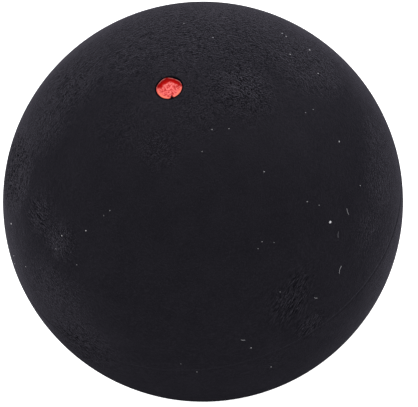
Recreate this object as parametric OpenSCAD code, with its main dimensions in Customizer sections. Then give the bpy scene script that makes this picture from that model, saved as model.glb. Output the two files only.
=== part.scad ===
// Squash ball with one red dot. Two moulded rubber half shells are cemented rim to rim, and
// the dot is a coat of paint in a small dish that is moulded at the pole of one half.
// The origin is the centre of the ball, the joint lies in the XY plane, and +Z runs out
// through the dot. Lengths are in millimetres.

/* [Ball] */
// Outside diameter of the finished ball
ball_d = 40; // [30:0.5:60]
// Thickness of the rubber wall
wall = 4.5; // [3:0.1:6]

/* [Joint] */
// Thickness of the cement between the two rims
film_t = 0.2; // [0.1:0.02:0.4]
// Bevel on the inner edge of each rim, which the cement fills
rim_bevel = 0.4; // [0.2:0.05:0.8]
// Radius of the bead of cement that is squeezed out inside the ball
bead_r = 0.7; // [0.5:0.05:1.2]
// How far the middle of that bead lies inside the wall
bead_inset = 0.1; // [0:0.02:0.2]
// Width of the shallow groove that buffing leaves along the joint
groove_w = 0.26; // [0.24:0.02:0.6]
// Depth of that groove
groove_depth = 0.03; // [0.02:0.01:0.1]

/* [Dot] */
// Width of the flat floor of the dish that is moulded for the dot
dish_floor_d = 1.9; // [1.6:0.05:3]
// How far the side of the dish runs out from its floor to its mouth
dish_side_w = 0.4; // [0.25:0.01:0.6]
// Depth of the dish below its mouth
dish_depth = 0.48; // [0.3:0.02:0.7]
// Height of the bevel that breaks the lip of the dish
lip_bevel = 0.06; // [0.04:0.01:0.12]
// Thickness of the paint on the floor of the dish
paint_t = 0.1; // [0.06:0.01:0.16]
// How far inside that bevel the edge of the dot lies, on average
paint_inset = 0.07; // [0.06:0.01:0.12]
// Width of the V-shaped nick in the near edge of the dot, where the paint missed
nick_w = 0.72; // [0.2:0.02:0.8]
// How far that nick reaches in from the edge of the coat
nick_depth = 0.64; // [0.2:0.02:0.7]

/* [Hidden] */
// Sides that a full circle is drawn with
$fn = 128;
// Corners of the uneven edge of the dot
outline_corners = 72;
// How far a cut runs past the faces that it goes through
overrun = 1;

ball_r = ball_d / 2;
cavity_r = ball_r - wall;
// Height of each rim above or below the middle of the joint
rim_z = film_t / 2;
// The groove is an arc as deep as groove_depth on a chord as long as groove_w
groove_r = (pow(groove_w / 2, 2) + pow(groove_depth, 2)) / (2 * groove_depth);

floor_r = dish_floor_d / 2;
mouth_r = floor_r + dish_side_w;
// Height of the mouth of the dish, where it meets the round of the ball
mouth_z = sqrt(pow(ball_r, 2) - pow(mouth_r, 2));
floor_z = mouth_z - dish_depth;
// The coat of paint thins out to nothing at the lower edge of the bevelled lip
coat_top = dish_depth - lip_bevel;
coat_r = bowl_width(coat_top, mouth_r, floor_r, dish_depth);
dot_r = coat_r - paint_inset;

// Waves round the uneven edge of the dot: how many, their height as a share of paint_inset,
// and the angle of a crest. The shares add up to less than 1.
edge_wave_shares = [[2, 0.3, 334], [3, 0.3, 342], [4, 0.15, 341], [5, 0.2, 21]];
// Angle of the nick, seen from above with +X to the right
nick_angle = 270;

// Height of the centre of the sphere that makes the side of a bowl, above the bowl's floor
function bowl_lift(top_r, flat_r, depth) =
    (pow(depth, 2) + pow(top_r, 2) - pow(flat_r, 2)) / (2 * depth);

// Radius of that sphere
function bowl_r(top_r, flat_r, depth) =
    sqrt(pow(flat_r, 2) + pow(bowl_lift(top_r, flat_r, depth), 2));

// Radius of a bowl at a height above its floor
function bowl_width(h, top_r, flat_r, depth) =
    sqrt(pow(bowl_r(top_r, flat_r, depth), 2) - pow(bowl_lift(top_r, flat_r, depth) - h, 2));

// How far out the dot's edge waves at an angle, as a share of paint_inset
function edge_wave(angle, wave = 0) =
    wave == len(edge_wave_shares) ? 0 :
    edge_wave_shares[wave][1] * cos(edge_wave_shares[wave][0] * (angle - edge_wave_shares[wave][2]))
    + edge_wave(angle, wave + 1);

// A bowl with a flat floor at z = 0 and a side that is part of a sphere
module bowl(top_r, flat_r, depth) {
    intersection() {
        translate([0, 0, bowl_lift(top_r, flat_r, depth)])
            sphere(r = bowl_r(top_r, flat_r, depth));
        cylinder(r = bowl_r(top_r, flat_r, depth) + overrun, h = depth + overrun);
    }
}

// The groove that is buffed along the joint
module seam_groove() {
    rotate_extrude()
        translate([ball_r - groove_depth + groove_r, 0])
            circle(r = groove_r);
}

// One half shell as it is moulded, open downwards, with its rim bevelled inside
module half_shell() {
    difference() {
        sphere(r = ball_r);
        sphere(r = cavity_r);
        translate([0, 0, rim_z - ball_r - overrun])
            cylinder(r = ball_r + overrun, h = ball_r + overrun);
        translate([0, 0, rim_z - overrun])
            cylinder(r1 = cavity_r + rim_bevel + overrun, r2 = cavity_r - overrun,
                h = rim_bevel + 2 * overrun);
        seam_groove();
    }
}

// The dish at the pole, with its lip broken by a small bevel
module dot_dish() {
    translate([0, 0, floor_z])
        bowl(mouth_r, floor_r, dish_depth);
    translate([0, 0, floor_z + coat_top])
        cylinder(r1 = coat_r, r2 = coat_r + overrun, h = overrun);
}

// Edge of the painted dot, seen from above
module dot_outline() {
    difference() {
        polygon([
            for (corner = [0 : outline_corners - 1])
                let (angle = corner * 360 / outline_corners, r = dot_r + paint_inset * edge_wave(angle))
                    [r * cos(angle), r * sin(angle)]
        ]);
        rotate(nick_angle)
            polygon([[coat_r, -nick_w / 2], [coat_r, nick_w / 2], [coat_r - nick_depth, 0]]);
    }
}

module dotted_half() {
    color([0.11, 0.11, 0.12])
        difference() {
            half_shell();
            dot_dish();
        }
}

module plain_half() {
    color([0.13, 0.13, 0.14])
        mirror([0, 0, 1])
            half_shell();
}

// The cement between the rims, with the bead that is squeezed out along the inside
module seam_cement() {
    color([0.30, 0.27, 0.22])
        difference() {
            union() {
                difference() {
                    intersection() {
                        sphere(r = ball_r);
                        translate([0, 0, -rim_z])
                            cylinder(r = ball_r + overrun, h = film_t);
                    }
                    translate([0, 0, -rim_z - overrun])
                        cylinder(r = cavity_r, h = film_t + 2 * overrun);
                }
                rotate_extrude()
                    translate([cavity_r + bead_inset, 0])
                        circle(r = bead_r);
            }
            half_shell();
            mirror([0, 0, 1])
                half_shell();
            seam_groove();
        }
}

// The coat of paint, flat on the floor of the dish and thinning up its side
module dot_paint() {
    color([0.92, 0.36, 0.34])
        intersection() {
            difference() {
                translate([0, 0, floor_z])
                    bowl(mouth_r, floor_r, dish_depth);
                translate([0, 0, floor_z + paint_t])
                    bowl(coat_r, floor_r - paint_t, coat_top - paint_t);
            }
            translate([0, 0, floor_z - overrun])
                linear_extrude(height = coat_top + 2 * overrun)
                    dot_outline();
        }
}

dotted_half();
plain_half();
seam_cement();
dot_paint();
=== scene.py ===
"""Shapes and finishes a hollow rubber squash ball with one red dot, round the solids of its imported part.

The part's own frame is in metres: the origin is the centre of the ball, the joint between its halves lies
in the XY plane, and +Z runs out through the dot. Lengths are in metres too, but for the tables below and
the names that end in _mm.
"""

import math
import random

import bpy
from bpy.props import FloatProperty, FloatVectorProperty, IntProperty, PointerProperty
from mathutils import Matrix, Vector, noise


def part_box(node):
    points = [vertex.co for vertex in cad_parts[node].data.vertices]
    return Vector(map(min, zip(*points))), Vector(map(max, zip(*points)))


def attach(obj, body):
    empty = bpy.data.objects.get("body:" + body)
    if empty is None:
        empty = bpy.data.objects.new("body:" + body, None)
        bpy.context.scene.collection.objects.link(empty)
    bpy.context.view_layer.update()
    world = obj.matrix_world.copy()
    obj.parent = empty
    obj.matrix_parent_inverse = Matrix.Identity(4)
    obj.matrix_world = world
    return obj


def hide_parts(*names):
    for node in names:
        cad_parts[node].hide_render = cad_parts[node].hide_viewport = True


bl_info = {
    "name": "Squash Ball",
    "version": (1, 0, 0),
    "blender": (4, 5, 0),
    "location": "3D View > Sidebar > Squash Ball",
    "description": "Models a squash ball's half shells, cement and dot, with their real finishes",
    "category": "Object",
}

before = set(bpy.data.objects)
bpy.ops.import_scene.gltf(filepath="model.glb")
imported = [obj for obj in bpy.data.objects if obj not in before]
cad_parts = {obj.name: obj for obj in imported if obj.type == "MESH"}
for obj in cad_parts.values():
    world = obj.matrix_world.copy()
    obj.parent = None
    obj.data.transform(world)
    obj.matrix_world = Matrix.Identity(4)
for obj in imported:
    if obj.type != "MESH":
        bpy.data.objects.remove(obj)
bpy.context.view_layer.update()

MM = 0.001
# Corners closer than this are one corner
MERGE = 0.0005 * MM

# The photograph's frame, and the ball's outline in it, in pixels
PHOTO_WIDTH = 418
PHOTO_HEIGHT = 407
OUTLINE_X = 203.0
OUTLINE_Y = 201.65
OUTLINE_RADIUS = 200.3

# Waves round the dot's uneven edge: how many, their height as a share of the inset, and the angle of a
# crest in degrees
EDGE_WAVE_SHARES = ((2, 0.3, 334), (3, 0.3, 342), (4, 0.15, 341), (5, 0.2, 21))

# Where the buffing marks are strongest: millimetres right of and above the middle of the ball as the
# photograph shows it, the mark's reach in millimetres, and its strength
BUFFED_PATCHES = (
    (0.0, 17.0, 19.0, 0.7), (3.6, 11.4, 6.5, 1.1), (-7.3, 14.2, 8.0, 0.65), (9.7, 14.2, 8.5, 0.8),
    (-13.0, 12.4, 8.0, 0.9), (-15.5, 8.0, 7.0, 0.6), (-18.9, 3.2, 6.5, 1.6), (-16.0, -1.2, 5.5, 0.45),
    (-14.3, -3.9, 4.0, 0.8), (-14.5, -9.5, 9.0, 0.5), (-12.3, -14.0, 7.0, 1.0), (-7.5, 8.0, 9.0, 0.4),
    (-4.5, 5.6, 4.5, 0.65), (-0.6, 9.2, 6.0, 0.6), (9.0, -9.5, 5.5, 0.4), (11.0, -12.2, 4.5, 0.35),
    (16.5, -2.6, 5.5, 0.4), (17.7, 2.2, 7.0, 0.5), (17.5, 6.0, 6.0, 0.45), (7.0, -16.0, 4.5, 0.35),
)

# Where the rubber was scraped one way: the same lengths, the depth of the marks as a share of the
# strongest buffing marks, and their direction in degrees from the right, as seen
SCRAPED_PATCHES = (
    (8.5, -10.4, 3.9, 0.85, 60),
    (9.7, -7.8, 2.6, 0.65, 50),
    (10.6, -12.4, 2.8, 0.75, 55),
    (-16.4, -1.5, 3.0, 0.9, -42),
)

# Where the rubber is painted paler, as painted light where more light falls on it: the same lengths, and
# how strongly it is
LIT_PATCHES = (
    (8.0, 9.8, 11.5, 0.15), (-1.5, 12.0, 13.0, 0.15), (1.0, 19.0, 7.0, 0.14), (-19.2, 3.5, 6.0, 0.08),
    (-12.5, -12.5, 8.0, 0.15),
)

# Specks of dust that the photograph shows: millimetres right and up, and the speck's width in millimetres
DUST_SPECKS = (
    (12.7, -2.05, 0.25), (10.4, 0.0, 0.09), (11.6, -0.35, 0.08), (15.7, 1.6, 0.10),
    (-2.2, -16.2, 0.07), (-0.6, -17.0, 0.09), (13.6, 6.0, 0.15), (8.3, 16.5, 0.14),
    (7.9, 16.8, 0.11), (10.65, 15.15, 0.14), (8.7, 14.7, 0.12), (11.5, 12.8, 0.11),
    (6.1, 3.0, 0.10), (10.25, 8.9, 0.09), (11.0, 9.2, 0.08), (-11.7, -2.9, 0.14),
    (-19.15, -2.2, 0.15), (-14.1, -3.4, 0.12), (-18.9, -5.4, 0.10), (-18.8, -6.2, 0.10),
    (-17.7, -6.5, 0.09), (-9.3, -0.9, 0.07), (-9.9, -1.4, 0.07), (-14.7, -4.7, 0.07),
    (-12.6, -6.3, 0.07), (-1.9, 17.8, 0.09), (1.0, 16.4, 0.10), (0.9, 7.2, 0.08),
    (2.6, 7.3, 0.07), (-0.1, 5.0, 0.07), (5.9, -4.0, 0.07), (7.1, -4.1, 0.07),
    (5.5, -4.7, 0.07), (7.7, -9.0, 0.07), (4.8, -14.6, 0.10), (6.8, -16.5, 0.09),
)

# Lint fibres: millimetres right and up, length, direction in degrees from the right, and bow, all as
# seen, and the fibre's thickness in millimetres
LINT_FIBRES = (
    (14.45, -1.0, 0.66, 108, 0.04, 0.032),
    (13.7, -6.8, 0.80, 75, 0.07, 0.032),
    (11.25, -9.6, 0.32, 172, 0.03, 0.03),
    (4.0, -13.8, 0.38, 178, 0.02, 0.04),
    (13.5, -3.3, 0.60, 90, 0.03, 0.014),
)

# Specks on the side that the photograph doesn't show: how many, their least and greatest width in
# millimetres, and the seed of their places and of every speck's shape
HIDDEN_SPECKS = 26
HIDDEN_WIDTHS = (0.08, 0.16)
DUST_SEED = 7
# The way of length 1 from the ball's centre to such a speck reaches less than the first of these towards
# the camera, and less than the second along each axis
HIDDEN_WAY = -0.15
FURTHEST_WAY = 0.99
# Least and greatest length and breadth of a speck, and its height, as shares of its width
SPECK_LONG = (0.8, 1.2)
SPECK_BROAD = (0.7, 1.1)
SPECK_HIGH = 0.5
# Lumps across a speck, and their height as a share of its radius
LUMPS = 3
LUMP_HEIGHT = 0.35

# Waves of the squeezed bead of cement: their width and height in bead radii
BEAD_WAVE_SPAN = 3
BEAD_WAVE_DEPTH = 0.3
# The level of the ripples' noise that lies at the paint's own height
RIPPLE_MIDDLE = 0.8

# Levels of noise that stand for the bottom and the top of one mark in the rubber
MARK_BOTTOM, MARK_TOP = 0.3, 0.7
# Levels of noise at which the hidden side's buffed patches, and the mottling, start and are full
PATCH_FROM, PATCH_FULL = 0.35, 0.75
MOTTLE_FROM, MOTTLE_FULL = 0.35, 0.7
# Where the hidden side starts and where it is all hidden, in ball radii along the axis of the buffing
HIDDEN_FROM, HIDDEN_FULL = 0.2, -0.1
# Heights at which a ridge of the rubber is all bloom, partly painted light, and a pit is all painted shade,
# in depths of a full mark
BLOOMED_RIDGE = 1.9
SHADED_PIT = -1.2
# Painted shade round the dish: how far the middle of its black ring lies towards the near lip, and how far
# past the mouth it is full and ends, in lip rounds
LIP_SHADE_SHIFT = 0.8
LIP_SHADE_FULL, LIP_SHADE_END = 0.2, 1.0
# Where the dust film's sheen is full, in ball radii along the way to the lit side, below which it fades out
# as painted shade, and how rough the sheen is
LIT_SHEEN_FULL = -0.3
DUST_ROUGHNESS = 0.3

# Levels of noise at which the paint's pale blotches, its dark ones, and the breaks in its dusty edge
# start and are full
PALE_FROM, PALE_FULL = 0.45, 0.68
DARK_FROM, DARK_FULL = 0.48, 0.32
BROKEN_FROM, BROKEN_FULL = 0.4, 0.6
# Where the dot's painted-shade side and its painted-highlight side start and are full, in floor radii
# towards the shaded one
SHADE_SIDE_FROM, SHADE_SIDE_FULL = 0.0, 0.35
LIT_SIDE_FROM, LIT_SIDE_FULL = 0.2, -0.5
# How far the painted shade of the dish's wall reaches in over the floor of the dish, in coats
SHADE_REACH = 1.8
# Roughness of the satin paint where it is sleekest and where it is dullest
SATIN_SLEEK, SATIN_DULL = 0.32, 0.55
# How dim and how bright a grain of dust is beside the rest
GRAIN_DIM, GRAIN_BRIGHT = 0.7, 1.1

# A Mix node's two colours, by their places among its inputs, because its inputs share their names
MIX_UNDER, MIX_OVER = 6, 7
WHITE = (1.0, 1.0, 1.0, 1.0)
# How near the camera the picture starts, as a share of the camera's distance
NEAREST_SEEN = 0.1


def ring_radius(node, height):
    """How far from the ball's axis a solid's corners at a height lie."""
    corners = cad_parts[node].data.vertices
    return max(c.co.xy.length for c in corners if abs(c.co.z - height) < MERGE)


BALL_RADIUS = -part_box("plain_half")[0].z
CAVITY_RADIUS = min(c.co.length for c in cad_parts["plain_half"].data.vertices)
RIM_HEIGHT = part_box("dotted_half")[0].z
DISH_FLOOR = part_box("dot_paint")[0].z
DISH_FLOOR_RADIUS = ring_radius("dotted_half", DISH_FLOOR)


def srgb(code):
    """A colour written as sRGB hex, in the linear values that the shaders take, with full alpha."""
    shares = [int(code[i:i + 2], 16) / 255 for i in (1, 3, 5)]
    return [s / 12.92 if s <= 0.04045 else ((s + 0.055) / 1.055) ** 2.4 for s in shares] + [1.0]


def length(name, description, default, low=0.0):
    """A property for one length."""
    return FloatProperty(name=name, description=description, default=default, min=low, unit="LENGTH",
                         precision=5)


def share(name, description, default):
    """A property for one share or strength."""
    return FloatProperty(name=name, description=description, default=default, min=0.0, max=1.0,
                         subtype="FACTOR")


def bearing(name, description, degrees):
    """A property for one angle."""
    return FloatProperty(name=name, description=description, default=math.radians(degrees),
                         subtype="ANGLE")


def power(name, description, default):
    """A property for one lamp's power."""
    return FloatProperty(name=name, description=description, default=default, min=0.0, unit="POWER")


def colour(name, description, code):
    """A property for one colour."""
    return FloatVectorProperty(name=name, description=description, default=srgb(code), min=0.0, max=1.0,
                               size=4, subtype="COLOR")


class ShellSizes(bpy.types.PropertyGroup):
    """Sizes of the rubber half shells and of the cement between them."""

    ball_radius: length("Ball radius", "Radius of the finished ball", BALL_RADIUS)
    cavity_radius: length("Cavity radius", "Radius of the hollow inside", CAVITY_RADIUS)
    rim_height: length("Rim height", "Height of each rim from the middle of the joint", RIM_HEIGHT)
    rim_bevel: length("Rim bevel", "Bevel on the inner edge of each rim", 0.4 * MM)
    groove_depth: length("Groove depth", "Depth of the groove that is buffed along the joint", 0.03 * MM)
    groove_width: length("Groove width", "Width of that groove", 0.26 * MM)
    shoulder: length("Groove shoulder", "Width of the worn shoulder on each side of it", 0.06 * MM)
    bead_radius: length("Bead radius", "Radius of the bead of cement inside the joint", 0.7 * MM)
    bead_inset: length("Bead inset", "How far the bead's middle lies inside the wall", 0.1 * MM)
    turns: IntProperty(name="Steps round", description="Faces round the ball", default=432, min=64)
    ring_gap: length("Ring spacing", "Spacing of the rings of faces on the outside", 0.21 * MM, 0.1 * MM)
    buffing_cut: length("Buffing cut", "How unevenly the wheel takes rubber away", 0.012 * MM)
    buffing_span: length("Buffing span", "Width of those low and high places", 4 * MM)
    scuff_cut: length("Scuff cut", "Depth of the finer scuffs", 0.004 * MM)
    scuff_span: length("Scuff span", "Width of the finer scuffs", 0.8 * MM)
    uncut: length("Uncut reach", "How far from the dot's axis the wheel takes nothing away", 1.6 * MM)
    cut_fade: length("Cut fade", "How far from there and from the joint it cuts in full", 2 * MM)


class DotSizes(bpy.types.PropertyGroup):
    """Sizes of the moulded dish and of the coat of paint in it."""

    floor_height: length("Floor height", "Height of the dish's floor above the ball's centre", DISH_FLOOR)
    floor_radius: length("Floor radius", "Radius of the dish's flat floor", DISH_FLOOR_RADIUS)
    side_reach: length("Side reach", "How far the dish's side runs out from floor to mouth", 0.4 * MM)
    depth: length("Dish depth", "Depth of the dish below its mouth", 0.48 * MM)
    lip_round: length("Lip round", "Radius that breaks the lip of the dish", 0.1 * MM)
    coat: length("Coat", "Thickness of the paint on the floor", 0.1 * MM)
    coat_top: length("Coat top", "Height above the floor at which the coat ends", 0.42 * MM)
    inset: length("Edge inset", "How far inside that the painted edge lies, on average", 0.07 * MM)
    feather: length("Feather", "Width over which the coat thins to its edge", 0.1 * MM)
    thinnest: share("Thinnest", "How thick the coat is at its edge, as a share", 0.1)
    nick_width: length("Nick width", "Width of the nick in the near edge, where no paint is", 0.72 * MM)
    nick_depth: length("Nick depth", "How far that nick reaches in", 0.64 * MM)
    nick_angle: bearing("Nick angle", "Where the nick lies round the dot", 270)
    # The side of the dish whose wall gets painted shade; the opposite side gets a painted highlight
    shade_side_angle: bearing("Pool angle", "Where round the dot the paint has run thick", 76)
    corners: IntProperty(name="Corners", description="Corners round the dot", default=144, min=24)
    rings: IntProperty(name="Rings", description="Rings of faces across the dot", default=26, min=6)
    ripple: length("Ripple", "Height of the ripples in the dried paint", 0.03 * MM)
    ripple_span: length("Ripple span", "Width of those ripples", 0.28 * MM)


class Finishes(bpy.types.PropertyGroup):
    """Colours of the ball's materials, and the real sizes of their patterns."""

    rubber: colour("Rubber", "Filled butyl rubber", "#1e1d22")
    # Rubber dust on the ridges and in the mottling, and also painted light on the ridges and in the paler
    # patches
    rubber_bloom_and_light: colour("Rubber bloom", "Rubber dust that the wheel leaves on the ridges", "#3c3a41")
    # Painted shade: black for the torn pits and round the lip of the dish
    rubber_shade: colour("Rubber pits", "Torn pits between the ridges, which catch no light", "#0b0a0e")
    cement: colour("Cement", "Cured rubber cement", "#212025")
    paint: colour("Paint", "The dot's paint on the floor of its dish", "#cd4846")
    paint_pale: colour("Pale paint", "Paint where it is dusty and thin", "#f07f7b")
    paint_streak: colour("Streaks", "Thicker strokes of paint", "#a01c1a")
    # Painted shade on the wall of the dish at one side, darker higher up, and a painted highlight on the
    # wall at the other side
    paint_shaded_foot: colour("Wet paint", "Paint that has run thick at the foot of the dish's side", "#ad0605")
    paint_shaded_high: colour("Deep paint", "That paint further up the side", "#5c0101")
    paint_lit_rim: colour("Rim paint", "Paint that is worn pale on the other side of the dish", "#ea7663")
    # Paler paint along the thinned edge on the painted-shade side of the dish
    paint_edge: colour("Thin edge", "Thin dusty paint along the top of the thick side", "#b5706c")
    dust: colour("Dust", "Specks of dust", "#c9c8cc")
    dust_film: colour("Dust film", "Fine dust all over the ball, which gives it its sheen", "#efeaff")
    lint: colour("Lint", "Fibres of lint", "#b9b8bd")
    grain: length("Grain width", "Width of one mark of the buffing wheel", 0.16 * MM)
    grain_lean: bearing("Grain lean", "From the dot's axis to the axis of the buffing", 36)
    grain_pull: length("Grain pull", "How near that axis the marks stop being drawn out", 8 * MM)
    grain_drift: length("Grain drift", "Distance over which the marks waver", 1.6 * MM)
    grain_waver: share("Grain waver", "How far the marks waver, as a share of that distance", 0.8)
    grain_depth: length("Grain depth", "Depth of the marks", 0.044 * MM)
    faintest: share("Faintest marks", "How strong the marks are where the ball has worn smooth", 0.2)
    hidden_marks: share("Hidden marks", "How strong they are at most on the hidden side", 0.8)
    scrape: length("Scrape width", "Width of one mark where the rubber was scraped", 0.13 * MM)
    scrape_length: length("Scrape length", "Length of such a mark", 0.55 * MM)
    scrape_crest: share("Scrape crest", "Height of its crest as a share of its depth", 0.7)
    tooth: length("Tooth width", "Width of the torn rubber's fine tooth", 0.11 * MM)
    patch: length("Patch width", "Width of the hidden side's buffed patches", 12 * MM)
    mottle: length("Mottle width", "Width of the faint light and dark mottling", 2.6 * MM)
    mottling: share("Mottling", "How much bloom the light mottling has", 0.06)
    # The lit side of the ball: the dust film's sheen fades out away from it, as painted shade
    lit_side_lean: bearing("Dust lean", "From the dot's axis to the side that dust settles on", 56)
    lit_side_angle: bearing("Dust angle", "Where that side lies round the dot's axis", 70)
    rubber_sheen: share("Rubber sheen", "How strongly the dust film shows on the rubber", 0.12)
    cement_sheen: share("Cement sheen", "How strongly it shows on the cement", 0.03)
    paint_grain: length("Paint grain", "Width of the paint's blotches", 0.2 * MM)
    paint_bump: length("Paint bump", "Height of those blotches", 0.02 * MM)
    paint_tide: length("Paint tide", "Width of the waves where one tone of paint meets the next", 0.4 * MM)
    paint_thinned: share("Thinned paint", "How dark the coat is where it thins to its edge", 0.7)
    dust_grain: length("Dust grain", "Width of one grain in the specks and fibres", 0.1 * MM)


class StageSettings(bpy.types.PropertyGroup):
    """The floor, the lamps and the camera."""

    distance: length("Camera distance", "From the camera to the centre of the ball", 0.6)
    elevation: bearing("Camera elevation", "Above the joint's plane", 54.4)
    roll: bearing("Camera roll", "How far the dot's axis leans left of upright", 16.6)
    sensor: FloatProperty(name="Sensor width", description="In millimetres", default=36.0)
    floor_size: length("Floor size", "Width of the floor", 3.0)
    floor: colour("Floor", "Plain pale floor", "#d5d5d9")
    floor_glow: share("Floor glow", "How white the floor shows by itself", 0.92)
    sky: share("Surroundings", "Light of the pale room on the ball", 0.65)
    lamp_distance: length("Lamp distance", "From each lamp to the centre of the ball", 0.9)
    lamp_size: length("Lamp size", "Width of each round lamp", 0.7)
    key_power: power("Key lamp", "The lamp between the camera and the top of the picture", 0.8)
    left_power: power("Left lamp", "The lamp at the upper left, level with the ball's outline", 4.5)
    right_power: power("Right lamp", "The lamp at the upper right, level with that outline", 3.0)
    front_power: power("Front lamp", "The weak lamp by the camera", 2.9)


def view_axes(stage):
    """The photograph's right, its up and the direction to its camera, in the part's frame."""
    to_camera = Vector((0, -math.cos(stage.elevation), math.sin(stage.elevation)))
    level = Vector((1, 0, 0))
    upright = to_camera.cross(level)
    right = math.cos(stage.roll) * level - math.sin(stage.roll) * upright
    up = math.sin(stage.roll) * level + math.cos(stage.roll) * upright
    return right, up, to_camera


def seen_point(scene, right_mm, up_mm):
    """The point of the ball that the photograph shows so far right of and above its middle."""
    stage = scene.ball_stage
    radius = scene.ball_shell.ball_radius
    right, up, to_camera = view_axes(stage)
    slope = math.tan(math.asin(radius / stage.distance)) / (radius / MM)
    ray = (right * right_mm * slope + up * up_mm * slope - to_camera).normalized()
    eye = to_camera * stage.distance
    near = eye.dot(ray)
    gap = near * near - eye.length_squared + radius * radius
    return eye + ray * (-near - math.sqrt(max(gap, 0)))


def add_node(tree, kind, inputs=None, **settings):
    """Adds a node with its settings, and fills each input with a value, a socket or another node's first
    output in use."""
    node = tree.nodes.new("ShaderNode" + kind)
    for name, value in settings.items():
        setattr(node, name, value)
    for socket, value in (inputs or {}).items():
        if isinstance(value, bpy.types.Node):
            value = next(output for output in value.outputs if output.enabled)
        if isinstance(value, bpy.types.NodeSocket):
            tree.links.new(value, node.inputs[socket])
        else:
            node.inputs[socket].default_value = value
    return node


def new_material(name):
    """A material with an empty node tree, and that tree."""
    material = bpy.data.materials.new(name)
    material.use_nodes = True
    tree = material.node_tree
    tree.nodes.clear()
    return material, tree


def layered(tree, ground, layers):
    """A ground colour and the colours that lie over it, each as strongly as its share says."""
    for strength, tone in layers:
        ground = add_node(tree, "Mix", {
            "Factor": strength, MIX_UNDER: ground, MIX_OVER: tone,
        }, data_type="RGBA")
    return ground


def patchwork(tree, scene, place, patches, ground):
    """The strongest at each point of a ground level and of round patches that fade outwards."""
    for right_mm, up_mm, reach, strength in patches:
        centre = seen_point(scene, right_mm, up_mm)
        distance = add_node(tree, "VectorMath", {0: place, 1: centre}, operation="DISTANCE")
        patch = add_node(tree, "MapRange", {
            "Value": distance, "From Max": reach * MM, "To Min": strength, "To Max": 0.0,
        }, interpolation_type="SMOOTHSTEP")
        ground = add_node(tree, "Math", {0: ground, 1: patch}, operation="MAXIMUM")
    return ground


def scrapes(tree, scene, place):
    """Height of the marks in the scraped patches: noise drawn out along the way of each patch."""
    finish = scene.ball_finish
    right, up, to_camera = view_axes(scene.ball_stage)
    height = 0.0
    for right_mm, up_mm, reach, depth, heading in SCRAPED_PATCHES:
        outward = seen_point(scene, right_mm, up_mm).normalized()
        seen_way = math.cos(math.radians(heading)) * right + math.sin(math.radians(heading)) * up
        way = (seen_way - to_camera * (seen_way.dot(outward) / to_camera.dot(outward))).normalized()
        along = add_node(tree, "VectorMath", {0: place, 1: way}, operation="DOT_PRODUCT")
        squeezed = way * (1 - finish.scrape / finish.scrape_length)
        shift = add_node(tree, "VectorMath", {0: squeezed, "Scale": along}, operation="SCALE")
        drawn = add_node(tree, "VectorMath", {0: place, 1: shift}, operation="SUBTRACT")
        grit = add_node(tree, "TexNoise", {"Vector": drawn, "Scale": 1 / finish.scrape, "Detail": 0.0})
        mark = add_node(tree, "MapRange", {
            "Value": grit, "From Min": MARK_BOTTOM, "From Max": MARK_TOP,
            "To Min": -1.0, "To Max": finish.scrape_crest,
        })
        strength = patchwork(tree, scene, place, [(right_mm, up_mm, reach, depth)], 0.0)
        height = add_node(tree, "Math", {0: mark, 1: strength, 2: height}, operation="MULTIPLY_ADD")
    return height


def wheel_marks(tree, scene, place):
    """Height of the marks of the buffing wheel, which run round one axis of the ball, are drawn out along
    their way, and waver; and how strong the marks are at each point."""
    finish = scene.ball_finish
    axis = Vector((0, -math.sin(finish.grain_lean), math.cos(finish.grain_lean)))
    along = add_node(tree, "VectorMath", {0: place, 1: axis}, operation="DOT_PRODUCT")
    foot = add_node(tree, "VectorMath", {0: axis, "Scale": along}, operation="SCALE")
    across = add_node(tree, "VectorMath", {0: place, 1: foot}, operation="SUBTRACT")
    off = add_node(tree, "VectorMath", {0: across}, operation="LENGTH")
    held = add_node(tree, "Math", {0: off, 1: finish.grain_pull}, operation="MINIMUM")
    pull = add_node(tree, "Math", {0: held, 1: off}, operation="DIVIDE")
    drawn = add_node(tree, "VectorMath", {0: across, "Scale": pull}, operation="SCALE")
    polar = add_node(tree, "Math", {0: off, 1: along}, operation="ARCTAN2")
    arc = add_node(tree, "Math", {0: polar, 1: BALL_RADIUS}, operation="MULTIPLY")
    ring = add_node(tree, "VectorMath", {0: axis, "Scale": arc}, operation="SCALE")
    way = add_node(tree, "VectorMath", {0: drawn, 1: ring}, operation="ADD")
    drift = add_node(tree, "TexNoise", {"Vector": place, "Scale": 1 / finish.grain_drift, "Detail": 1.0})
    waver = add_node(tree, "VectorMath", {
        0: drift.outputs["Color"], "Scale": finish.grain_waver * finish.grain_drift,
    }, operation="SCALE")
    wavy = add_node(tree, "VectorMath", {0: way, 1: waver}, operation="ADD")

    # Each mark is a long stroke with a torn tooth on it, drawn as coarse as it needs to show
    marks = []
    for pattern, width in ((wavy, finish.grain), (place, finish.tooth)):
        grit = add_node(tree, "TexNoise", {"Vector": pattern, "Scale": 1 / width, "Detail": 1.0})
        marks.append(add_node(tree, "MapRange", {
            "Value": grit, "From Min": MARK_BOTTOM, "From Max": MARK_TOP, "To Min": -1.0, "To Max": 1.0,
        }))
    torn = add_node(tree, "Math", {0: marks[0], 1: marks[1]}, operation="ADD")

    # Patches that the photograph shows, and others on the side that it doesn't
    patches = add_node(tree, "TexNoise", {"Vector": place, "Scale": 1 / finish.patch, "Detail": 2.0})
    other = add_node(tree, "MapRange", {
        "Value": patches, "From Min": PATCH_FROM, "From Max": PATCH_FULL,
    }, interpolation_type="SMOOTHSTEP")
    hidden = add_node(tree, "MapRange", {
        "Value": along, "From Min": HIDDEN_FROM * BALL_RADIUS, "From Max": HIDDEN_FULL * BALL_RADIUS,
        "To Max": finish.hidden_marks,
    })
    marked = add_node(tree, "Math", {0: other, 1: hidden}, operation="MULTIPLY")
    marked = patchwork(tree, scene, place, BUFFED_PATCHES, marked)
    return torn, add_node(tree, "Math", {0: marked, 1: finish.faintest}, operation="MAXIMUM")


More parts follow.
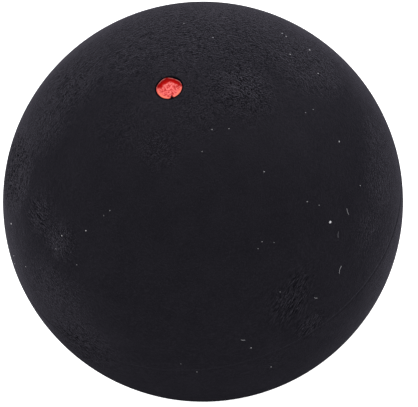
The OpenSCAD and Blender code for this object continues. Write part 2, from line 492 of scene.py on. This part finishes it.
def buffed_rubber(scene):
    """Filled butyl rubber that a wheel has buffed all over: dull black with a faint violet cast, fine torn
    strokes that turn from patch to patch, a few places scraped one way, and a soft pale sheen where it is
    seen edge on."""
    finish = scene.ball_finish
    dot = scene.ball_dot
    material, tree = new_material("butyl_rubber")
    place = add_node(tree, "TexCoord").outputs["Object"]
    torn, marked = wheel_marks(tree, scene, place)
    relief = add_node(tree, "Math", {
        0: torn, 1: marked, 2: scrapes(tree, scene, place),
    }, operation="MULTIPLY_ADD")
    bump = add_node(tree, "Bump", {"Distance": finish.grain_depth, "Height": relief})

    # Bloom lies on the ridges, partly rubber dust and partly painted light where they catch it; paler
    # patches are painted light where more light falls; and the whole is faintly mottled
    ridge_bloom_and_light = add_node(tree, "MapRange", {"Value": relief, "From Max": BLOOMED_RIDGE})
    mottle = add_node(tree, "TexNoise", {"Vector": place, "Scale": 1 / finish.mottle, "Detail": 3.0})
    cloud = add_node(tree, "MapRange", {
        "Value": mottle, "From Min": MOTTLE_FROM, "From Max": MOTTLE_FULL, "To Max": finish.mottling,
    })
    lit_patches = patchwork(tree, scene, place, LIT_PATCHES, 0.0)
    lit_and_mottled = add_node(tree, "Math", {0: lit_patches, 1: cloud}, operation="ADD")
    bloom_and_light = add_node(tree, "Math", {0: ridge_bloom_and_light, 1: lit_and_mottled}, operation="ADD")

    # Painted shade: the pits are painted black, and so is a ring in the dish and over its lip, whose middle
    # lies towards the near lip
    pit_shade = add_node(tree, "MapRange", {"Value": relief, "From Max": SHADED_PIT})
    mouth = Vector((0, -LIP_SHADE_SHIFT * dot.lip_round, dot.floor_height + dot.depth))
    from_mouth = add_node(tree, "VectorMath", {0: place, 1: mouth}, operation="DISTANCE")
    reach = dot.floor_radius + dot.side_reach
    lip_shade = add_node(tree, "MapRange", {
        "Value": from_mouth, "From Min": reach + LIP_SHADE_END * dot.lip_round,
        "From Max": reach + LIP_SHADE_FULL * dot.lip_round,
    })
    pit_and_lip_shade = add_node(tree, "Math", {0: pit_shade, 1: lip_shade}, operation="MAXIMUM")
    tint = layered(tree, finish.rubber, [(bloom_and_light, finish.rubber_bloom_and_light), (pit_and_lip_shade, finish.rubber_shade)])

    # Fine dust gives the sheen. It fades out towards the side turned from the light, as painted shade, and
    # skips the painted-shade pits and lip
    lean, turn = finish.lit_side_lean, finish.lit_side_angle
    lit_side_way = (math.sin(lean) * math.cos(turn), math.sin(lean) * math.sin(turn), math.cos(lean))
    toward_lit_side = add_node(tree, "VectorMath", {0: place, 1: lit_side_way}, operation="DOT_PRODUCT")
    dust_sheen_and_shade = add_node(tree, "MapRange", {
        "Value": toward_lit_side, "From Min": -BALL_RADIUS, "From Max": LIT_SHEEN_FULL * BALL_RADIUS,
        "To Max": finish.rubber_sheen,
    })
    open_share = add_node(tree, "Math", {0: 1.0, 1: pit_and_lip_shade}, operation="SUBTRACT")
    sheen = add_node(tree, "Math", {0: dust_sheen_and_shade, 1: open_share}, operation="MULTIPLY")
    surface = add_node(tree, "BsdfPrincipled", {
        "Base Color": tint,
        "Roughness": 0.9,
        "Diffuse Roughness": 0.8,
        "Specular IOR Level": 0.0,
        "Sheen Weight": sheen,
        "Sheen Roughness": DUST_ROUGHNESS,
        "Sheen Tint": finish.dust_film,
        "Normal": bump,
    })
    add_node(tree, "OutputMaterial", {"Surface": surface})
    return material


def rubber_cement(scene):
    """Cured rubber cement: as dull and black as the rubber beside it, a little lumpy, and less dusty."""
    finish = scene.ball_finish
    material, tree = new_material("cured_cement")
    place = add_node(tree, "TexCoord").outputs["Object"]
    lumps = add_node(tree, "TexNoise", {"Vector": place, "Scale": 1 / finish.grain, "Detail": 2.0})
    bump = add_node(tree, "Bump", {"Distance": finish.grain_depth, "Height": lumps})
    surface = add_node(tree, "BsdfPrincipled", {
        "Base Color": finish.cement,
        "Roughness": 0.8,
        "Specular IOR Level": 0.0,
        "Sheen Weight": finish.cement_sheen,
        "Sheen Roughness": DUST_ROUGHNESS,
        "Sheen Tint": finish.dust_film,
        "Normal": bump,
    })
    add_node(tree, "OutputMaterial", {"Surface": surface})
    return material


def dot_enamel(scene):
    """Satin enamel dabbed on by a pin: blotched salmon on the floor of the dish, where dust has settled in
    it, with deep red painted shade on the wall of the dish at one side, deeper higher up, and a pale
    painted highlight on the wall at the other side."""
    finish = scene.ball_finish
    dot = scene.ball_dot
    material, tree = new_material("dot_enamel")
    place = add_node(tree, "TexCoord").outputs["Object"]
    flat = add_node(tree, "VectorMath", {0: place, 1: (1.0, 1.0, 0.0)}, operation="MULTIPLY")
    out = add_node(tree, "VectorMath", {0: flat}, operation="LENGTH")

    # Pale and dark blotches
    blotches = add_node(tree, "TexNoise", {
        "Vector": place, "Scale": 1 / finish.paint_grain, "Detail": 3.0, "Distortion": 0.8,
    })
    pale = add_node(tree, "MapRange", {"Value": blotches, "From Min": PALE_FROM, "From Max": PALE_FULL})
    dark = add_node(tree, "MapRange", {"Value": blotches, "From Min": DARK_FROM, "From Max": DARK_FULL})

    # The side of the dish, where the tide of the paint has left a wavy line round the floor
    tide = add_node(tree, "TexNoise", {"Vector": place, "Scale": 1 / finish.paint_tide, "Detail": 2.0})
    shore = add_node(tree, "Math", {0: tide, 1: finish.paint_tide, 2: out}, operation="MULTIPLY_ADD")
    foot = dot.floor_radius + finish.paint_tide / 2
    on_side = add_node(tree, "MapRange", {
        "Value": shore, "From Min": foot - dot.coat, "From Max": foot + dot.coat / 2,
    }, interpolation_type="SMOOTHSTEP")
    toward_wall = add_node(tree, "MapRange", {
        "Value": shore, "From Min": foot - SHADE_REACH * dot.coat, "From Max": foot,
    }, interpolation_type="SMOOTHSTEP")

    # Painted shade: deep red on the wall of the dish at the side turned from the light, deeper the higher
    # it is up the wall; painted highlight: pale on the wall at the other side
    shade_side_way = Vector((math.cos(dot.shade_side_angle), math.sin(dot.shade_side_angle), 0)) / dot.floor_radius
    toward_shade_side = add_node(tree, "VectorMath", {0: flat, 1: shade_side_way}, operation="DOT_PRODUCT")
    # The first mask is the side that gets the painted shade, the second the side that gets the painted
    # highlight
    thick = add_node(tree, "MapRange", {"Value": toward_shade_side, "From Min": SHADE_SIDE_FROM, "From Max": SHADE_SIDE_FULL})
    lit_side_share = add_node(tree, "MapRange", {"Value": toward_shade_side, "From Min": LIT_SIDE_FROM, "From Max": LIT_SIDE_FULL})
    rim = add_node(tree, "Math", {0: on_side, 1: lit_side_share}, operation="MULTIPLY")
    run = add_node(tree, "Math", {0: toward_wall, 1: thick}, operation="MULTIPLY")
    higher_on_wall = add_node(tree, "MapRange", {
        "Value": out, "From Min": dot.floor_radius - dot.coat / 2, "From Max": coat_reach(dot),
    })
    shaded_wall_red = layered(tree, finish.paint_shaded_foot, [(higher_on_wall, finish.paint_shaded_high)])

    # The coat thins out at its edge, where the black rubber darkens it, and it is paler in broken stretches
    # along its thinned edge on the painted-shade side
    thinness = add_node(tree, "Attribute", attribute_name="thinness").outputs["Fac"]
    thinned = add_node(tree, "Math", {0: thinness, 1: finish.paint_thinned}, operation="MULTIPLY")
    broken = add_node(tree, "MapRange", {"Value": tide, "From Min": BROKEN_FROM, "From Max": BROKEN_FULL})
    pale_edge_side = add_node(tree, "Math", {0: thick, 1: broken}, operation="MULTIPLY")
    edge = add_node(tree, "Math", {0: thinness, 1: pale_edge_side}, operation="MULTIPLY")
    tint = layered(tree, finish.paint, [
        (pale, finish.paint_pale), (dark, finish.paint_streak), (rim, finish.paint_lit_rim), (run, shaded_wall_red),
        (thinned, finish.paint_streak), (edge, finish.paint_edge),
    ])

    satin = add_node(tree, "MapRange", {"Value": blotches, "To Min": SATIN_SLEEK, "To Max": SATIN_DULL})
    bump = add_node(tree, "Bump", {"Distance": finish.paint_bump, "Height": blotches})
    surface = add_node(tree, "BsdfPrincipled", {
        "Base Color": tint,
        "Roughness": satin,
        "Specular IOR Level": 0.03,
        "Normal": bump,
    })
    add_node(tree, "OutputMaterial", {"Surface": surface})
    return material


def settled_dust(scene, name, tone):
    """Dry dust and lint: pale, quite matt, and a little uneven from grain to grain."""
    material, tree = new_material(name)
    place = add_node(tree, "TexCoord").outputs["Object"]
    grains = add_node(tree, "TexNoise", {
        "Vector": place, "Scale": 1 / scene.ball_finish.dust_grain, "Detail": 2.0,
    })
    level = add_node(tree, "MapRange", {"Value": grains, "To Min": GRAIN_DIM, "To Max": GRAIN_BRIGHT})
    tint = add_node(tree, "VectorMath", {0: tone[:3], "Scale": level}, operation="SCALE")
    surface = add_node(tree, "BsdfPrincipled", {
        "Base Color": tint,
        "Roughness": 0.95,
        "Specular IOR Level": 0.05,
    })
    add_node(tree, "OutputMaterial", {"Surface": surface})
    return material


def clear_selection():
    """Deselects everything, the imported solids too."""
    if bpy.context.object and bpy.context.object.mode != "OBJECT":
        bpy.ops.object.mode_set(mode="OBJECT")
    bpy.ops.object.select_all(action="DESELECT")


def name_piece(name):
    """Names the piece that is being worked on, and its mesh, and returns it."""
    piece = bpy.context.object
    piece.name = name
    piece.data.name = name
    return piece


def close_skin():
    """Merges the doubled corners of the piece that is being worked on, and turns its faces outwards."""
    bpy.ops.object.mode_set(mode="EDIT")
    bpy.ops.mesh.select_all(action="SELECT")
    bpy.ops.mesh.remove_doubles(threshold=MERGE)
    bpy.ops.mesh.normals_make_consistent(inside=False)
    bpy.ops.object.mode_set(mode="OBJECT")


def gather(made, name):
    """Joins like pieces into one, with its place in its mesh."""
    clear_selection()
    for bit in made:
        bit.select_set(True)
    bpy.context.view_layer.objects.active = made[0]
    bpy.ops.object.join()
    piece = name_piece(name)
    piece.matrix_world = Matrix.Identity(4)
    bpy.ops.object.shade_smooth()
    return piece


class Outline:
    """An outline beside the ball's axis, drawn by extruding and spinning its last corner."""

    def __init__(self, name, radius, height):
        clear_selection()
        bpy.ops.mesh.primitive_plane_add(size=MM)
        self.piece = name_piece(name)
        self.at = Vector((radius, height))
        bpy.ops.object.mode_set(mode="EDIT")
        bpy.ops.mesh.merge(type="CENTER")
        bpy.ops.transform.translate(value=(radius, 0, height))

    def line_to(self, radius, height, steps=1):
        """Runs straight to a point."""
        step = (Vector((radius, height)) - self.at) / steps
        for _ in range(steps):
            bpy.ops.mesh.extrude_region_move(TRANSFORM_OT_translate={"value": (step.x, 0, step.y)})
        self.at = Vector((radius, height))

    def arc_to(self, radius, height, centre, steps=1):
        """Runs along an arc to a point."""
        middle = Vector(centre)
        start = self.at - middle
        end = Vector((radius, height)) - middle
        angle = math.atan2(start.x * end.y - start.y * end.x, start.dot(end))
        bpy.ops.mesh.spin(steps=steps, angle=angle, center=(middle.x, 0, middle.y), axis=(0, 1, 0))
        self.at = Vector((radius, height))

    def close(self):
        """Joins the last corner to the first, for an outline that doesn't touch the axis."""
        bpy.ops.mesh.select_all(action="SELECT")
        bpy.ops.mesh.remove_doubles(threshold=MERGE)

    def turn(self, steps):
        """Sweeps the outline right round the axis into a closed shell, and returns the piece."""
        bpy.ops.object.mode_set(mode="OBJECT")
        bpy.ops.object.modifier_add(type="SCREW")
        sweep = self.piece.modifiers[-1]
        sweep.steps = steps
        sweep.render_steps = steps
        sweep.use_merge_vertices = True
        sweep.merge_threshold = MERGE
        bpy.ops.object.modifier_apply(modifier=sweep.name)
        close_skin()
        bpy.ops.object.shade_smooth()
        return self.piece


def finish_piece(piece, material, node=None):
    """Gives a piece its material, ties it to the body, and hides the solid that it stands for, if one is
    named.
    """
    piece.data.materials.clear()
    piece.data.materials.append(material)
    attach(piece, "root")
    if node:
        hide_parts(node)


def roughen(piece, group, name, span, depth, middle=1.0):
    """Displaces the corners of a vertex group along their normals by clouds of a real width and depth."""
    clouds = bpy.data.textures.new(name, "CLOUDS")
    clouds.noise_scale = span
    clouds.noise_depth = 2
    bpy.ops.object.modifier_add(type="DISPLACE")
    modifier = piece.modifiers[-1]
    modifier.texture = clouds
    modifier.texture_coords = "LOCAL"
    modifier.strength = depth
    modifier.mid_level = middle
    modifier.vertex_group = group
    bpy.ops.object.modifier_apply(modifier=modifier.name)
    bpy.data.textures.remove(clouds)


def smooth_step(value):
    """Eases a share from 0 to 1."""
    held = min(max(value, 0.0), 1.0)
    return held * held * (3 - 2 * held)


def groove_arc(shell):
    """The groove's arc: its centre's distance from the ball's axis, and its radius."""
    radius = ((shell.groove_width / 2) ** 2 + shell.groove_depth ** 2) / (2 * shell.groove_depth)
    return shell.ball_radius - shell.groove_depth + radius, radius


def groove_foot(shell, height):
    """Distance from the axis to the groove at a height from the middle of the joint."""
    centre, radius = groove_arc(shell)
    return centre - math.sqrt(radius ** 2 - height ** 2)


def bevel_end(shell):
    """Where a rim's bevel ends at the cavity wall: its distance from the axis, and its height."""
    reach = shell.cavity_radius + shell.rim_bevel + shell.rim_height
    height = (reach - math.sqrt(2 * shell.cavity_radius ** 2 - reach ** 2)) / 2
    return reach - height, height


def half_shell(scene, outline, side, node):
    """Draws an outline on from the outside near the pole to the joint and back along the cavity, turns it,
    buffs it and finishes it. side is 1 above the joint and -1 below it."""
    shell = scene.ball_shell
    radius = shell.ball_radius

    # The outside, down to the worn shoulder of the groove
    shoulder_top = shell.groove_width / 2 + shell.shoulder
    steps = round(radius * math.pi / 2 / shell.ring_gap)
    outline.arc_to(math.sqrt(radius ** 2 - shoulder_top ** 2), side * shoulder_top, (0, 0), steps)
    shoulder_foot = shell.groove_width / 2 - shell.shoulder / 2
    outline.line_to(groove_foot(shell, shoulder_foot), side * shoulder_foot)
    rim = groove_foot(shell, shell.rim_height)
    outline.arc_to(rim, side * shell.rim_height, (groove_arc(shell)[0], 0), steps=3)

    # The flat rim, its bevel and the cavity wall
    outline.line_to(shell.cavity_radius + shell.rim_bevel, side * shell.rim_height, steps=4)
    bevel_radius, bevel_height = bevel_end(shell)
    outline.line_to(bevel_radius, side * bevel_height)
    outline.arc_to(0, side * shell.cavity_radius, (0, 0), steps=28)
    piece = outline.turn(shell.turns)

    buffed = piece.vertex_groups.new(name="buffed")
    for corner in piece.data.vertices:
        if corner.co.length > radius - MERGE:
            clear = (abs(corner.co.z) - shoulder_top) / shell.cut_fade
            from_dish = (corner.co.xy.length - shell.uncut) / shell.cut_fade if side > 0 else 1
            buffed.add([corner.index], smooth_step(min(clear, from_dish)), "REPLACE")
    roughen(piece, "buffed", "low_places", shell.buffing_span, shell.buffing_cut)
    roughen(piece, "buffed", "scuffs", shell.scuff_span, shell.scuff_cut)
    rubber = bpy.data.materials.get("butyl_rubber") or buffed_rubber(scene)
    finish_piece(piece, rubber, node)


def dish_centre(dot):
    """Height of the centre of the sphere that makes the side of the dish."""
    mouth = dot.floor_radius + dot.side_reach
    return dot.floor_height + (dot.depth ** 2 + mouth ** 2 - dot.floor_radius ** 2) / (2 * dot.depth)


def dish_round(dot):
    """Radius of that sphere."""
    return math.hypot(dot.floor_radius, dish_centre(dot) - dot.floor_height)


def dish_height(dot, radius):
    """Height of the dish's surface at a distance from its axis."""
    if radius <= dot.floor_radius:
        return dot.floor_height
    return dish_centre(dot) - math.sqrt(dish_round(dot) ** 2 - radius ** 2)


def coat_reach(dot):
    """Distance from the axis at which the coat would end if its edge were even."""
    rise = dish_centre(dot) - dot.floor_height - dot.coat_top
    return math.sqrt(dish_round(dot) ** 2 - rise ** 2)


def coat_height(dot, radius):
    """Height of the paint's surface at a distance from the dot's axis, before its edge is thinned."""
    level = dot.floor_radius - dot.coat
    if radius <= level:
        return dot.floor_height + dot.coat
    reach = coat_reach(dot)
    rise = dot.coat_top - dot.coat
    lift = (rise ** 2 + reach ** 2 - level ** 2) / (2 * rise)
    return dot.floor_height + dot.coat + lift - math.sqrt(level ** 2 + lift ** 2 - radius ** 2)


def painted_edge(dot, angle):
    """Distance from the axis to the dot's uneven edge at an angle, with the nick in it."""
    reach = coat_reach(dot)
    waves = sum(s * math.cos(n * (angle - math.radians(crest))) for n, s, crest in EDGE_WAVE_SHARES)
    edge = reach - dot.inset + dot.inset * waves
    off = abs((angle - dot.nick_angle + math.pi) % math.tau - math.pi) * reach
    notch = reach - dot.nick_depth * (1 - off / (dot.nick_width / 2))
    return min(edge, notch)


class SQUASHBALL_OT_dotted_half(bpy.types.Operator):
    """Turn the rubber half shell that has the dish for the dot"""

    bl_idname = "squashball.dotted_half"
    bl_label = "Dotted half shell"

    def execute(self, context):
        scene = context.scene
        dot = scene.ball_dot
        radius = scene.ball_shell.ball_radius
        centre = dish_centre(dot)
        bowl = dish_round(dot)
        # The lip is an arc that touches both the dish's side and the round of the ball
        inner = radius - dot.lip_round
        outer = bowl + dot.lip_round
        lip_z = (inner ** 2 - outer ** 2 + centre ** 2) / (2 * centre)
        lip_r = math.sqrt(inner ** 2 - lip_z ** 2)
        foot = Vector((lip_r, lip_z - centre)) * (bowl / outer)
        brow = Vector((lip_r, lip_z)) * (radius / inner)

        outline = Outline("dotted_half_shell", 0, dot.floor_height)
        outline.line_to(dot.floor_radius, dot.floor_height, steps=6)
        outline.arc_to(foot.x, centre + foot.y, (0, centre), steps=8)
        outline.arc_to(brow.x, brow.y, (lip_r, lip_z), steps=5)
        half_shell(scene, outline, 1, "dotted_half")
        return {"FINISHED"}


class SQUASHBALL_OT_plain_half(bpy.types.Operator):
    """Turn the plain rubber half shell"""

    bl_idname = "squashball.plain_half"
    bl_label = "Plain half shell"

    def execute(self, context):
        scene = context.scene
        outline = Outline("plain_half_shell", 0, -scene.ball_shell.ball_radius)
        half_shell(scene, outline, -1, "plain_half")
        return {"FINISHED"}


class SQUASHBALL_OT_cement_ring(bpy.types.Operator):
    """Turn the ring of cement between the rims, with the bead that is squeezed out inside"""

    bl_idname = "squashball.cement_ring"
    bl_label = "Cement ring"

    def execute(self, context):
        scene = context.scene
        shell = scene.ball_shell
        wall = shell.cavity_radius
        corner = wall + shell.rim_bevel
        bevel_radius, bevel_height = bevel_end(shell)
        bead_middle = wall + shell.bead_inset
        # Where the bead meets the cavity wall
        meet_r = (wall ** 2 + bead_middle ** 2 - shell.bead_radius ** 2) / (2 * bead_middle)
        meet_z = math.sqrt(wall ** 2 - meet_r ** 2)
        rim = groove_foot(shell, shell.rim_height)

        outline = Outline("cement_ring", rim, -shell.rim_height)
        outline.arc_to(rim, shell.rim_height, (groove_arc(shell)[0], 0), steps=4)
        outline.line_to(corner, shell.rim_height, steps=6)
        outline.line_to(bevel_radius, bevel_height, steps=2)
        outline.arc_to(meet_r, meet_z, (0, 0))
        outline.arc_to(meet_r, -meet_z, (bead_middle, 0), steps=16)
        outline.arc_to(bevel_radius, -bevel_height, (0, 0))
        outline.line_to(corner, -shell.rim_height, steps=2)
        outline.line_to(rim, -shell.rim_height, steps=6)
        outline.close()
        piece = outline.turn(shell.turns)

        # The bead is squeezed out unevenly
        bead = piece.vertex_groups.new(name="bead")
        squeezed = [c.index for c in piece.data.vertices if c.co.xy.length < meet_r - MERGE]
        bead.add(squeezed, 1.0, "REPLACE")
        span, depth = BEAD_WAVE_SPAN * shell.bead_radius, BEAD_WAVE_DEPTH * shell.bead_radius
        roughen(piece, "bead", "squeezed", span, depth)
        finish_piece(piece, rubber_cement(scene), "seam_cement")
        return {"FINISHED"}


class SQUASHBALL_OT_red_dot(bpy.types.Operator):
    """Model the coat of red paint in its dish"""

    bl_idname = "squashball.red_dot"
    bl_label = "Red dot"

    def execute(self, context):
        scene = context.scene
        dot = scene.ball_dot
        full = coat_reach(dot) - dot.inset
        clear_selection()
        bpy.ops.mesh.primitive_circle_add(vertices=dot.corners, radius=full, fill_type="NGON")
        piece = name_piece("red_dot")
        bpy.ops.object.mode_set(mode="EDIT")
        for _ in range(dot.rings - 1):
            bpy.ops.mesh.inset(thickness=full / dot.rings)
        bpy.ops.mesh.poke()
        bpy.ops.mesh.select_all(action="SELECT")
        bpy.ops.mesh.extrude_region_move(TRANSFORM_OT_translate={"value": (0, 0, dot.coat)})
        bpy.ops.object.mode_set(mode="OBJECT")

        # The coat settles on the dish, and its edge runs out unevenly and thins
        face = piece.vertex_groups.new(name="face")
        thinness = []
        for corner in piece.data.vertices:
            angle = math.atan2(corner.co.y, corner.co.x)
            out = corner.co.xy.length
            edge = painted_edge(dot, angle)
            # Only the outer half of the disc follows the edge
            out += (edge - full) * smooth_step(out / full * 2 - 1)
            thick = smooth_step((edge - out) / dot.feather)
            low = dish_height(dot, out)
            high = low + (coat_height(dot, out) - low) * max(thick, dot.thinnest)
            on_top = corner.select
            corner.co = (out * math.cos(angle), out * math.sin(angle), high if on_top else low)
            thinness.append(1 - thick)
            if on_top:
                face.add([corner.index], thick, "REPLACE")
        piece.data.attributes.new("thinness", "FLOAT", "POINT").data.foreach_set("value", thinness)
        bpy.ops.object.mode_set(mode="EDIT")
        bpy.ops.mesh.select_all(action="SELECT")
        bpy.ops.mesh.normals_make_consistent(inside=False)
        bpy.ops.object.mode_set(mode="OBJECT")
        roughen(piece, "face", "ripples", dot.ripple_span, dot.ripple, RIPPLE_MIDDLE)
        bpy.ops.object.shade_smooth()
        finish_piece(piece, dot_enamel(scene), "dot_paint")
        return {"FINISHED"}


class SQUASHBALL_OT_dust(bpy.types.Operator):
    """Scatter specks of dust over the rubber"""

    bl_idname = "squashball.dust"
    bl_label = "Dust"

    def execute(self, context):
        scene = context.scene
        chance = random.Random(DUST_SEED)
        radius = scene.ball_shell.ball_radius
        specks = [(seen_point(scene, x, y), width * MM) for x, y, width in DUST_SPECKS]
        to_camera = view_axes(scene.ball_stage)[2]
        while len(specks) < len(DUST_SPECKS) + HIDDEN_SPECKS:
            way = Vector([chance.gauss(0, 1) for _ in range(3)]).normalized()
            # Clear of the photograph's outline, and of the ball's furthest points
            if way.dot(to_camera) < HIDDEN_WAY and max(abs(reach) for reach in way) < FURTHEST_WAY:
                specks.append((way * radius, chance.uniform(*HIDDEN_WIDTHS) * MM))
        made = []
        for place, width in specks:
            bpy.ops.mesh.primitive_ico_sphere_add(subdivisions=2, radius=width / 2)
            speck = context.object
            long, broad = chance.uniform(*SPECK_LONG), chance.uniform(*SPECK_BROAD)
            squash = Matrix.Diagonal((long, broad, SPECK_HIGH, 1))
            turn = place.normalized().to_track_quat("Z", "Y").to_matrix().to_4x4()
            spin = Matrix.Rotation(chance.uniform(0, math.tau), 4, "Z")
            for corner in speck.data.vertices:
                lump = noise.noise(corner.co * (LUMPS / width) + Vector((chance.random(), 0, 0)))
                corner.co *= 1 + LUMP_HEIGHT * lump
            speck.data.transform(Matrix.Translation(place) @ turn @ spin @ squash)
            made.append(speck)
        finish_piece(gather(made, "dust_specks"), settled_dust(scene, "dust", scene.ball_finish.dust))
        return {"FINISHED"}


class SQUASHBALL_OT_lint(bpy.types.Operator):
    """Lay fibres of lint on the rubber"""

    bl_idname = "squashball.lint"
    bl_label = "Lint"

    def execute(self, context):
        scene = context.scene
        radius = scene.ball_shell.ball_radius
        made = []
        for right_mm, up_mm, long_mm, degrees, bow_mm, thick_mm in LINT_FIBRES:
            half_thick = thick_mm / 2 * MM
            along = Vector((math.cos(math.radians(degrees)), math.sin(math.radians(degrees))))
            across = Vector((-along.y, along.x))
            clear_selection()
            bpy.ops.curve.primitive_nurbs_path_add()
            fibre = context.object
            line = fibre.data.splines[0]
            last = len(line.points) - 1
            for i, point in enumerate(line.points):
                run = (i / last - 0.5) * long_mm
                side = bow_mm * (1 - (2 * i / last - 1) ** 2)
                spot = Vector((right_mm, up_mm)) + along * run + across * side
                place = seen_point(scene, spot.x, spot.y)
                point.co = (*(place.normalized() * (radius + half_thick)), 1.0)
            fibre.data.bevel_depth = half_thick
            fibre.data.bevel_resolution = 1
            fibre.data.use_fill_caps = True
            bpy.ops.object.convert(target="MESH")
            close_skin()
            made.append(context.object)
        finish_piece(gather(made, "lint_fibres"), settled_dust(scene, "lint", scene.ball_finish.lint))
        return {"FINISHED"}


def seen_directly(tree):
    """1 for a ray that shows the background itself, to the camera, in a gloss or through glass."""
    path = add_node(tree, "LightPath")
    shown = path.outputs["Is Camera Ray"]
    for ray in ("Is Glossy Ray", "Is Transmission Ray"):
        shown = add_node(tree, "Math", {0: shown, 1: path.outputs[ray]}, operation="MAXIMUM")
    return shown


def pale_floor(stage):
    """Plain matt white board: it shows white by itself, and keeps the ball's soft shadow."""
    material, tree = new_material("pale_floor")
    board = add_node(tree, "BsdfDiffuse", {"Color": stage.floor})
    shown = add_node(tree, "Math", {0: seen_directly(tree), 1: stage.floor_glow}, operation="MULTIPLY")
    glow = add_node(tree, "Emission", {"Color": WHITE, "Strength": shown})
    both = add_node(tree, "AddShader", {0: board, 1: glow})
    add_node(tree, "OutputMaterial", {"Surface": both})
    return material


class SQUASHBALL_OT_stage(bpy.types.Operator):
    """Set the floor, the soft lamps and the camera"""

    bl_idname = "squashball.stage"
    bl_label = "Stage"

    def execute(self, context):
        scene = context.scene
        stage = scene.ball_stage
        radius = scene.ball_shell.ball_radius
        right, up, to_camera = view_axes(stage)

        clear_selection()
        bpy.ops.mesh.primitive_plane_add(size=stage.floor_size, location=(0, 0, -radius))
        floor = context.object
        floor.name = "floor"
        floor.data.materials.append(pale_floor(stage))

        # Each lamp's way is so much right, up and towards the camera
        lamps = (
            ("key_lamp", (0, 0.42, 0.91), stage.key_power),
            ("left_lamp", (-0.7, 0.7, 0.09), stage.left_power),
            ("right_lamp", (0.7, 0.7, 0.09), stage.right_power),
            ("front_lamp", (0, 0, 1), stage.front_power),
        )
        for name, way, watts in lamps:
            towards = right * way[0] + up * way[1] + to_camera * way[2]
            bpy.ops.object.light_add(type="AREA", location=towards.normalized() * stage.lamp_distance)
            lamp = context.object
            lamp.name = name
            lamp.rotation_euler = towards.to_track_quat("Z", "Y").to_euler()
            lamp.data.shape = "DISK"
            lamp.data.size = stage.lamp_size
            lamp.data.energy = watts
            lamp.visible_camera = False

        world = bpy.data.worlds.new("pale_room")
        world.use_nodes = True
        tree = world.node_tree
        tree.nodes.clear()
        level = add_node(tree, "MapRange", {
            "Value": seen_directly(tree), "To Min": stage.sky, "To Max": 1.0,
        })
        room = add_node(tree, "Background", {"Color": WHITE, "Strength": level})
        add_node(tree, "OutputWorld", {"Surface": room})
        scene.world = world

        spread = math.tan(math.asin(radius / stage.distance))
        bpy.ops.object.camera_add()
        camera = context.object
        camera.name = "photo_camera"
        camera.data.sensor_width = stage.sensor
        camera.data.lens = OUTLINE_RADIUS / spread / PHOTO_WIDTH * stage.sensor
        camera.data.shift_x = (PHOTO_WIDTH / 2 - OUTLINE_X) / PHOTO_WIDTH
        camera.data.shift_y = -(PHOTO_HEIGHT / 2 - OUTLINE_Y) / PHOTO_WIDTH
        camera.data.clip_start = stage.distance * NEAREST_SEEN
        camera.data.clip_end = stage.distance + stage.floor_size
        turn = Matrix((right, up, to_camera)).transposed()
        camera.matrix_world = Matrix.Translation(to_camera * stage.distance) @ turn.to_4x4()
        scene.camera = camera
        scene.view_settings.view_transform = "Standard"
        return {"FINISHED"}


class SQUASHBALL_PT_panel(bpy.types.Panel):
    """Lists the ball's sizes, finishes and pieces."""

    bl_idname = "SQUASHBALL_PT_panel"
    bl_label = "Squash Ball"
    bl_space_type = "VIEW_3D"
    bl_region_type = "UI"
    bl_category = "Squash Ball"

    def draw(self, context):
        for group_name in GROUPS:
            group = getattr(context.scene, group_name)
            box = self.layout.box()
            for name in group.__annotations__:
                box.prop(group, name)
        for operator in OPERATORS:
            self.layout.operator(operator.bl_idname)


GROUPS = {
    "ball_shell": ShellSizes,
    "ball_dot": DotSizes,
    "ball_finish": Finishes,
    "ball_stage": StageSettings,
}

OPERATORS = (
    SQUASHBALL_OT_dotted_half,
    SQUASHBALL_OT_plain_half,
    SQUASHBALL_OT_cement_ring,
    SQUASHBALL_OT_red_dot,
    SQUASHBALL_OT_dust,
    SQUASHBALL_OT_lint,
    SQUASHBALL_OT_stage,
)


def register():
    for name, group in GROUPS.items():
        bpy.utils.register_class(group)
        setattr(bpy.types.Scene, name, PointerProperty(type=group))
    for operator in OPERATORS:
        bpy.utils.register_class(operator)
    bpy.utils.register_class(SQUASHBALL_PT_panel)


def unregister():
    bpy.utils.unregister_class(SQUASHBALL_PT_panel)
    for operator in reversed(OPERATORS):
        bpy.utils.unregister_class(operator)
    for name, group in GROUPS.items():
        delattr(bpy.types.Scene, name)
        bpy.utils.unregister_class(group)


def main():
    """Makes every piece and the stage."""
    register()
    bpy.ops.squashball.dotted_half()
    bpy.ops.squashball.plain_half()
    bpy.ops.squashball.cement_ring()
    bpy.ops.squashball.red_dot()
    bpy.ops.squashball.dust()
    bpy.ops.squashball.lint()
    bpy.ops.squashball.stage()


if __name__ == "__main__":
    main()
